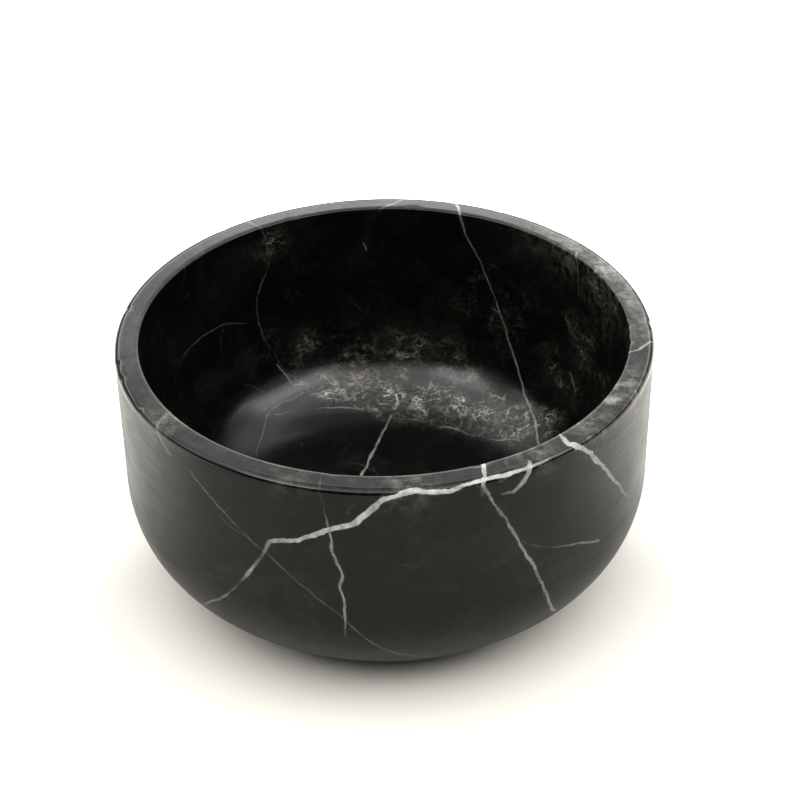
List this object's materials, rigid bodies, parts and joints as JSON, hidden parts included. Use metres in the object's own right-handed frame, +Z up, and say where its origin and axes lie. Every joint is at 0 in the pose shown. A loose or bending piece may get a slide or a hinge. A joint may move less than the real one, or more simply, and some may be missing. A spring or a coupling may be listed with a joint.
{
  "type": "shaving bowl",
  "caption": "Round flat-rimmed shaving bowl turned from veined black marble, with a rounded heel, standing on small round felt pads.",
  "frame": {"origin": "on the bowl's vertical axis, in the plane that the felt pads stand on", "axes": "+Z up along the bowl's axis of rotation; the bowl looks the same from every side, and the record's front is -Y"},
  "size_m": [0.127, 0.127, 0.0665],
  "materials": {
    "black_marble": "honed to a satin outside and polished inside, near-black with thin white calcite veins",
    "dark_felt": "pressed wool felt, matte and fibrous",
    "pad_adhesive": "translucent acrylic adhesive film, dull"
  },
  "bodies": {
    "root": {"stone_bowl": "black_marble", "pad_adhesive_1": "pad_adhesive", "pad_adhesive_2": "pad_adhesive", "pad_adhesive_3": "pad_adhesive", "pad_adhesive_4": "pad_adhesive", "felt_pad_1": "dark_felt", "felt_pad_2": "dark_felt", "felt_pad_3": "dark_felt", "felt_pad_4": "dark_felt"}
  },
  "joints": []
}
